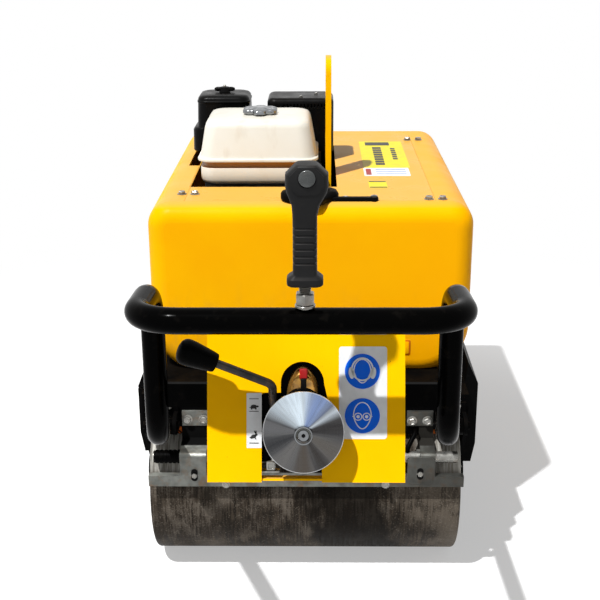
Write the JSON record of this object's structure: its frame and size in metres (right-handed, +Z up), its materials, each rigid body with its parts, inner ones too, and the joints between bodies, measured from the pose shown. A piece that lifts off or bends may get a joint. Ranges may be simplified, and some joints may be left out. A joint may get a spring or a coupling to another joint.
{
  "type": "walk-behind double drum road roller",
  "caption": "Walk-behind vibratory road roller: smooth steel drums under a moulded hood, with a tube tiller, control panel, petrol engine and lifting bar.",
  "frame": {"origin": "on the ground, halfway along the machine and halfway across its side covers", "axes": "+Z up, +Y along the machine away from the tiller, +X to the right of an operator who faces +Y"},
  "size_m": [0.721, 1.724, 1.059],
  "materials": {
    "drum_steel": "worn, dusty",
    "black_paint": "gloss black",
    "black_cover": "satin black",
    "zinc": "zinc plated",
    "hood_yellow": "moulded orange-yellow",
    "panel_yellow": "satin yellow",
    "tank_cream": "cream plastic",
    "engine_black": "satin black",
    "engine_metal": "cast",
    "cap_black": "matte black",
    "chrome": "polished",
    "turned_metal": "turned face",
    "grip_rubber": "ribbed rubber"
  },
  "bodies": {
    "chassis": {"air_cleaner": "engine_black", "air_cleaner_knob": "engine_black", "bolt_plate_left": "zinc", "bolt_plate_right": "zinc", "deck": "black_paint", "engine_bed": "black_paint", "engine_block": "engine_metal", "exciter_housing": "black_paint", "front_crossmember": "black_paint", "front_left_bearing": "black_paint", "front_left_scraper_bracket": "zinc", "front_right_bearing": "black_paint", "front_right_scraper_bracket": "zinc", "front_scraper": "zinc", "front_spray_pipe": "zinc", "front_water_hose": "grip_rubber", "fuel_cap": "chrome", "fuel_tank": "tank_cream", "hood": "hood_yellow", "lifting_bar": "panel_yellow", "muffler": "engine_metal", "muffler_guard": "engine_black", "pivot_bracket_left": "black_paint", "pivot_bracket_right": "black_paint", "rear_crossmember": "black_paint", "rear_left_bearing": "black_paint", "rear_left_scraper_bracket": "zinc", "rear_right_bearing": "black_paint", "rear_right_scraper_bracket": "zinc", "rear_scraper": "zinc", "rear_spray_pipe": "zinc", "recoil_cover": "engine_black", "side_cover_left": "black_cover", "side_cover_right": "black_cover", "side_frame_left": "black_paint", "side_frame_right": "black_paint", "top_panel": "panel_yellow", "water_cap": "cap_black"},
    "front_drum": {"front_drum": "drum_steel"},
    "rear_drum": {"rear_drum": "drum_steel"},
    "tiller": {"handle_loop": "black_paint", "control_panel": "panel_yellow", "control_box": "black_paint", "stop_disc": "turned_metal", "travel_lever": "black_paint", "lever_knob": "grip_rubber", "grip": "grip_rubber", "grip_stud": "zinc"}
  },
  "joints": [
    {"name": "front_drum_roll", "type": "hinge", "parent": "chassis", "child": "front_drum", "pos_m": [-0.005, 0.047, 0.175], "axis": [1, 0, 0], "continuous": true},
    {"name": "rear_drum_roll", "type": "hinge", "parent": "chassis", "child": "rear_drum", "pos_m": [-0.005, 0.672, 0.175], "axis": [1, 0, 0], "continuous": true},
    {"name": "tiller_fold", "type": "hinge", "parent": "chassis", "child": "tiller", "pos_m": [-0.0025, -0.108, 0.352], "axis": [-1, 0, 0], "range_deg": [0, 60]}
  ]
}
